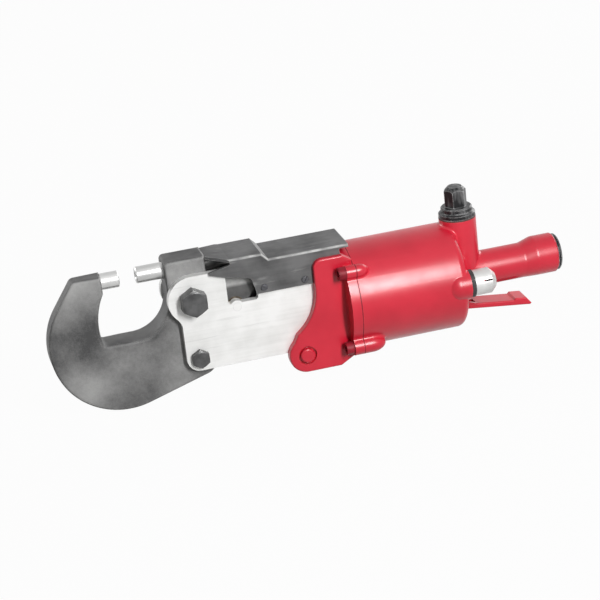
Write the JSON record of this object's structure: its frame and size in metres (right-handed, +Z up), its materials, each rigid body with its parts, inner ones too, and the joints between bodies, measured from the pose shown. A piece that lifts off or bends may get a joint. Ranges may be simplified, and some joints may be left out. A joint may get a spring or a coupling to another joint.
{
  "type": "compression riveter",
  "caption": "Hand-held air powered compression riveter: C-yoke with facing dies, side plates, rocker drive, red cylinder, valve stub, handle and throttle lever.",
  "frame": {"origin": "centre of the air inlet's mouth, on the outer face of the inlet bushing", "axes": "+X along the tool and out of the air inlet, so the yoke is at -X; +Z up from the throttle lever to the valve stub; +Y towards the side without the exhaust"},
  "size_m": [0.4078, 0.0862, 0.1245],
  "materials": {
    "red_paint": "glossy enamel on a casting",
    "forged_steel": "dark satin forging",
    "bright_plate": "pale satin plate",
    "cover_sheet": "dark grey sheet",
    "dark_bolts": "black oxide",
    "bright_steel": "ground",
    "piston_metal": "turned",
    "black_fittings": "black, half gloss",
    "white_cap": "bright",
    "seal_rubber": "matt",
    "gasket_fibre": "matt",
    "bearing_bronze": "turned",
    "spring_wire": "drawn wire",
    "felt": "felt"
  },
  "bodies": {
    "frame": {"cylinder": "red_paint", "inlet_bushing": "black_fittings", "inlet_screen": "bearing_bronze", "front_head": "red_paint", "head_gasket": "gasket_fibre", "head_bolts": "red_paint", "rod_bush": "bearing_bronze", "rod_seal": "seal_rubber", "piston_bumper": "seal_rubber", "piston_return_spring": "spring_wire", "roller_track": "bright_steel", "rocker_pin": "bright_steel", "fixed_die": "bright_steel", "yoke": "forged_steel", "yoke_bolt": "dark_bolts", "yoke_nut": "dark_bolts", "yoke_lower_bolt": "dark_bolts", "yoke_lower_nut": "dark_bolts", "side_plate_near": "bright_plate", "side_plate_far": "bright_plate", "plate_dowels": "bright_steel", "ear_bolt": "red_paint", "ear_nut": "red_paint", "ear_spacer": "bright_steel", "cover": "cover_sheet", "cover_screws": "cover_sheet", "valve_seat": "bearing_bronze", "stem_bush": "bearing_bronze", "valve_spring": "spring_wire", "valve_cap": "black_fittings", "valve_cap_gasket": "gasket_fibre", "lever_pin": "bright_steel", "exhaust_gasket": "seal_rubber", "exhaust_cap": "white_cap", "silencer_felt": "felt"},
    "piston": {"piston": "piston_metal", "piston_seal": "seal_rubber", "piston_rod": "bright_steel", "piston_nut": "bright_steel", "crosshead": "forged_steel", "roller_pins": "bright_steel"},
    "upper_roller": {"upper_roller": "bright_steel"},
    "lower_roller": {"lower_roller": "bright_steel"},
    "rocker": {"rocker": "forged_steel", "rocker_bush": "bearing_bronze"},
    "plunger": {"plunger": "bright_steel", "moving_die": "bright_steel"},
    "throttle_lever": {"throttle_lever": "red_paint"},
    "throttle_valve": {"throttle_valve": "bright_steel"}
  },
  "joints": [
    {"name": "piston_slide", "type": "slide", "parent": "frame", "child": "piston", "axis": [-1, 0, 0], "range_m": [0, 0.03], "stiffness_N_per_m": 400, "springref_m": -0.05, "deforming": ["piston_return_spring"]},
    {"name": "upper_roller_spin", "type": "hinge", "parent": "piston", "child": "upper_roller", "pos_m": [-0.2092, 0, 0.0077], "axis": [0, 1, 0], "range_deg": [0, 192]},
    {"name": "lower_roller_spin", "type": "hinge", "parent": "piston", "child": "lower_roller", "pos_m": [-0.2092, 0, -0.0107], "axis": [0, -1, 0], "range_deg": [0, 192]},
    {"name": "rocker_swing", "type": "hinge", "parent": "frame", "child": "rocker", "pos_m": [-0.2632, 0, 0.0127], "axis": [0, -1, 0], "range_deg": [0, 18.21]},
    {"name": "plunger_slide", "type": "slide", "parent": "frame", "child": "plunger", "axis": [-1, 0, 0], "range_m": [0, 0.01001]},
    {"name": "throttle_squeeze", "type": "hinge", "parent": "frame", "child": "throttle_lever", "pos_m": [-0.0847, 0, -0.026], "axis": [0, -1, 0], "range_deg": [0, 8], "stiffness_Nm_per_rad": 2, "springref_deg": -5.73},
    {"name": "valve_lift", "type": "slide", "parent": "frame", "child": "throttle_valve", "axis": [0, 0, 1], "range_m": [0, 0.0008], "deforming": ["valve_spring"]}
  ],
  "couplings": [
    {"joint": "rocker_swing", "follows": "piston_slide", "rad_per_m": 10.593},
    {"joint": "plunger_slide", "follows": "piston_slide", "ratio": 0.33333},
    {"joint": "upper_roller_spin", "follows": "piston_slide", "rad_per_m": 111.11},
    {"joint": "lower_roller_spin", "follows": "piston_slide", "rad_per_m": 111.11},
    {"joint": "valve_lift", "follows": "throttle_squeeze", "m_per_rad": 0.005644}
  ]
}
